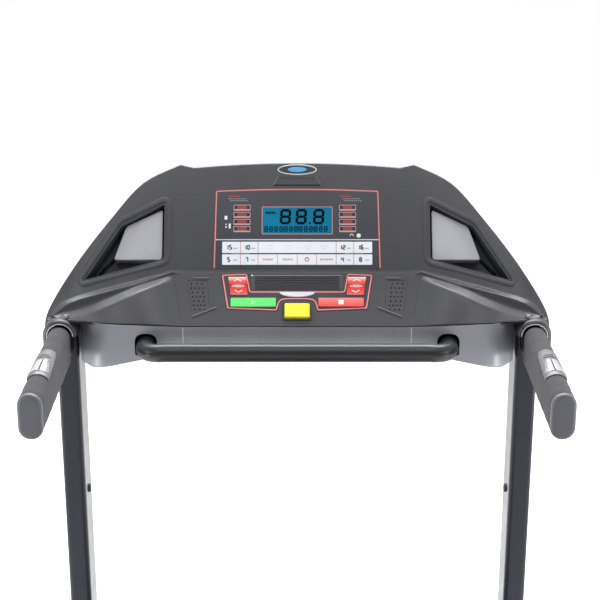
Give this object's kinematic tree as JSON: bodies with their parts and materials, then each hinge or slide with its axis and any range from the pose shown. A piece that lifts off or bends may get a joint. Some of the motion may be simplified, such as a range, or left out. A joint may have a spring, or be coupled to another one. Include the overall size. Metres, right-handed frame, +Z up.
{
  "type": "treadmill",
  "caption": "Folding treadmill with a motorised incline, a winged console with fan and trays, padded handles and a front bar.",
  "frame": {"origin": "on the floor, at the middle of the bounding box in plan", "axes": "+X to the user's right, +Y forward towards the console and the motor hood, +Z up; the user stands on the -Y side"},
  "size_m": [0.886, 1.76, 1.3665],
  "materials": {
    "charcoal_plastic": "fine textured moulding",
    "grey_plastic": "satin metallic grey moulding",
    "dark_plastic": "satin",
    "overlay_film": "printed polyester film",
    "white_keys": "printed polyester film",
    "lcd_glass": "backlit display window",
    "red_key": "satin key",
    "green_key": "satin key",
    "yellow_key": "moulded",
    "foam_grip": "closed-cell foam",
    "grip_cap": "moulded",
    "sensor_steel": "polished",
    "black_steel": "satin powder coat",
    "upright_steel": "satin powder coat",
    "zinc_steel": "zinc plated",
    "black_rubber": "moulded",
    "running_belt": "fine diamond texture",
    "deck_board": "waxed fibreboard",
    "circuit_board": "solder mask",
    "motor_steel": "satin"
  },
  "bodies": {
    "root": {"console_upper_shell": "charcoal_plastic", "console_lower_shell": "grey_plastic", "console_back_cover": "charcoal_plastic", "left_tray": "dark_plastic", "right_tray": "dark_plastic", "display_overlay": "overlay_film", "lcd_display": "lcd_glass", "quick_key_film": "white_keys", "display_board": "circuit_board", "control_overlay": "overlay_film", "fan_grille": "dark_plastic", "fan_housing": "dark_plastic", "left_speaker_grille": "dark_plastic", "right_speaker_grille": "dark_plastic", "left_handle_tube": "black_steel", "right_handle_tube": "black_steel", "left_grip": "foam_grip", "right_grip": "foam_grip", "left_grip_cap": "grip_cap", "right_grip_cap": "grip_cap", "left_pulse_sensor": "sensor_steel", "right_pulse_sensor": "sensor_steel", "front_bar": "black_steel", "left_upright": "upright_steel", "right_upright": "upright_steel", "base_frame": "black_steel", "wheel_axle": "zinc_steel", "lift_axle": "zinc_steel"},
    "start_key": {"start_key": "green_key"},
    "stop_key": {"stop_key": "red_key"},
    "speed_up_key": {"speed_up_key": "red_key"},
    "speed_down_key": {"speed_down_key": "red_key"},
    "incline_up_key": {"incline_up_key": "red_key"},
    "incline_down_key": {"incline_down_key": "red_key"},
    "safety_key": {"safety_key": "yellow_key"},
    "fan_impeller": {"fan_impeller": "dark_plastic"},
    "left_transport_wheel": {"left_transport_wheel": "black_rubber"},
    "right_transport_wheel": {"right_transport_wheel": "black_rubber"},
    "lift_frame": {"lift_frame": "black_steel"},
    "motor_frame": {"motor_frame": "black_steel", "drive_motor": "motor_steel", "drive_belt": "black_rubber", "motor_controller": "motor_steel", "motor_hood": "charcoal_plastic", "mains_inlet": "dark_plastic"},
    "power_switch": {"power_switch": "red_key"},
    "motor_flywheel": {"motor_flywheel": "motor_steel"},
    "incline_motor": {"incline_motor": "motor_steel"},
    "incline_screw_tube": {"incline_screw_tube": "zinc_steel"},
    "deck": {"deck_frame": "black_steel", "running_board": "deck_board", "running_belt": "running_belt", "left_side_rail": "grey_plastic", "right_side_rail": "grey_plastic", "left_end_cap": "charcoal_plastic", "right_end_cap": "charcoal_plastic"},
    "front_roller": {"front_roller": "zinc_steel"},
    "rear_roller": {"rear_roller": "zinc_steel"},
    "strut_cylinder": {"strut_cylinder": "black_steel"},
    "strut_rod": {"strut_rod": "zinc_steel"}
  },
  "joints": [
    {"name": "start_key_press", "type": "slide", "parent": "root", "child": "start_key", "axis": [0, 0.6428, -0.766], "range_m": [0, 0.001], "stiffness_N_per_m": 600},
    {"name": "stop_key_press", "type": "slide", "parent": "root", "child": "stop_key", "axis": [0, 0.6428, -0.766], "range_m": [0, 0.001], "stiffness_N_per_m": 600},
    {"name": "speed_up_key_press", "type": "slide", "parent": "root", "child": "speed_up_key", "axis": [0, 0.6428, -0.766], "range_m": [0, 0.001], "stiffness_N_per_m": 600},
    {"name": "speed_down_key_press", "type": "slide", "parent": "root", "child": "speed_down_key", "axis": [0, 0.6428, -0.766], "range_m": [0, 0.001], "stiffness_N_per_m": 600},
    {"name": "incline_up_key_press", "type": "slide", "parent": "root", "child": "incline_up_key", "axis": [0, 0.6428, -0.766], "range_m": [0, 0.001], "stiffness_N_per_m": 600},
    {"name": "incline_down_key_press", "type": "slide", "parent": "root", "child": "incline_down_key", "axis": [0, 0.6428, -0.766], "range_m": [0, 0.001], "stiffness_N_per_m": 600},
    {"name": "safety_key_pull", "type": "slide", "parent": "root", "child": "safety_key", "axis": [0, -0.6428, 0.766], "range_m": [0, 0.02]},
    {"name": "fan_spin", "type": "hinge", "parent": "root", "child": "fan_impeller", "pos_m": [0, 0.56644, 1.15903], "axis": [0, -0.6428, 0.766], "continuous": true},
    {"name": "left_wheel_spin", "type": "hinge", "parent": "root", "child": "left_transport_wheel", "pos_m": [-0.409, 0.85, 0.036], "axis": [1, 0, 0], "continuous": true},
    {"name": "right_wheel_spin", "type": "hinge", "parent": "root", "child": "right_transport_wheel", "pos_m": [0.409, 0.85, 0.036], "axis": [1, 0, 0], "continuous": true},
    {"name": "incline", "type": "hinge", "parent": "root", "child": "lift_frame", "pos_m": [0, 0.8, 0.06], "axis": [-1, 0, 0], "range_deg": [0, 30]},
    {"name": "deck_level", "type": "hinge", "parent": "lift_frame", "child": "motor_frame", "pos_m": [0, 0.54, 0.078], "axis": [1, 0, 0], "range_deg": [0, 36]},
    {"name": "power_switch_rock", "type": "hinge", "parent": "motor_frame", "child": "power_switch", "pos_m": [-0.192, 0.85, 0.135], "axis": [1, 0, 0], "range_deg": [0, 12]},
    {"name": "deck_fold", "type": "hinge", "parent": "motor_frame", "child": "deck", "pos_m": [0, 0.46, 0.135], "axis": [-1, 0, 0], "range_deg": [0, 80]},
    {"name": "front_roller_spin", "type": "hinge", "parent": "deck", "child": "front_roller", "pos_m": [0, 0.46, 0.135], "axis": [1, 0, 0], "continuous": true},
    {"name": "rear_roller_spin", "type": "hinge", "parent": "deck", "child": "rear_roller", "pos_m": [0, -0.82, 0.135], "axis": [1, 0, 0], "continuous": true},
    {"name": "flywheel_spin", "type": "hinge", "parent": "motor_frame", "child": "motor_flywheel", "pos_m": [-0.2, 0.68, 0.17], "axis": [1, 0, 0], "continuous": true},
    {"name": "strut_swing", "type": "hinge", "parent": "motor_frame", "child": "strut_cylinder", "pos_m": [0, 0.38, 0.045], "axis": [-1, 0, 0], "range_deg": [0, 79.97]},
    {"name": "strut_stroke", "type": "slide", "parent": "strut_cylinder", "child": "strut_rod", "axis": [0, -0.9986, 0.052], "range_m": [0, 0.1558]},
    {"name": "incline_motor_swing", "type": "hinge", "parent": "motor_frame", "child": "incline_motor", "pos_m": [0.2, 0.77, 0.185], "axis": [1, 0, 0], "range_deg": [0, 11.77]},
    {"name": "incline_screw_travel", "type": "slide", "parent": "incline_motor", "child": "incline_screw_tube", "axis": [0, 0.9997, 0.0238], "range_m": [0, 0.052]}
  ],
  "couplings": [
    {"joint": "deck_level", "follows": "incline", "ratio": 1.1813},
    {"joint": "incline_motor_swing", "follows": "incline", "ratio": 0.38566},
    {"joint": "incline_screw_travel", "follows": "incline", "m_per_rad": 0.098311},
    {"joint": "strut_swing", "follows": "deck_fold", "ratio": 0.9959},
    {"joint": "strut_stroke", "follows": "deck_fold", "m_per_rad": 0.11085},
    {"joint": "rear_roller_spin", "follows": "front_roller_spin", "ratio": 1},
    {"joint": "flywheel_spin", "follows": "front_roller_spin", "ratio": 1.51}
  ]
}
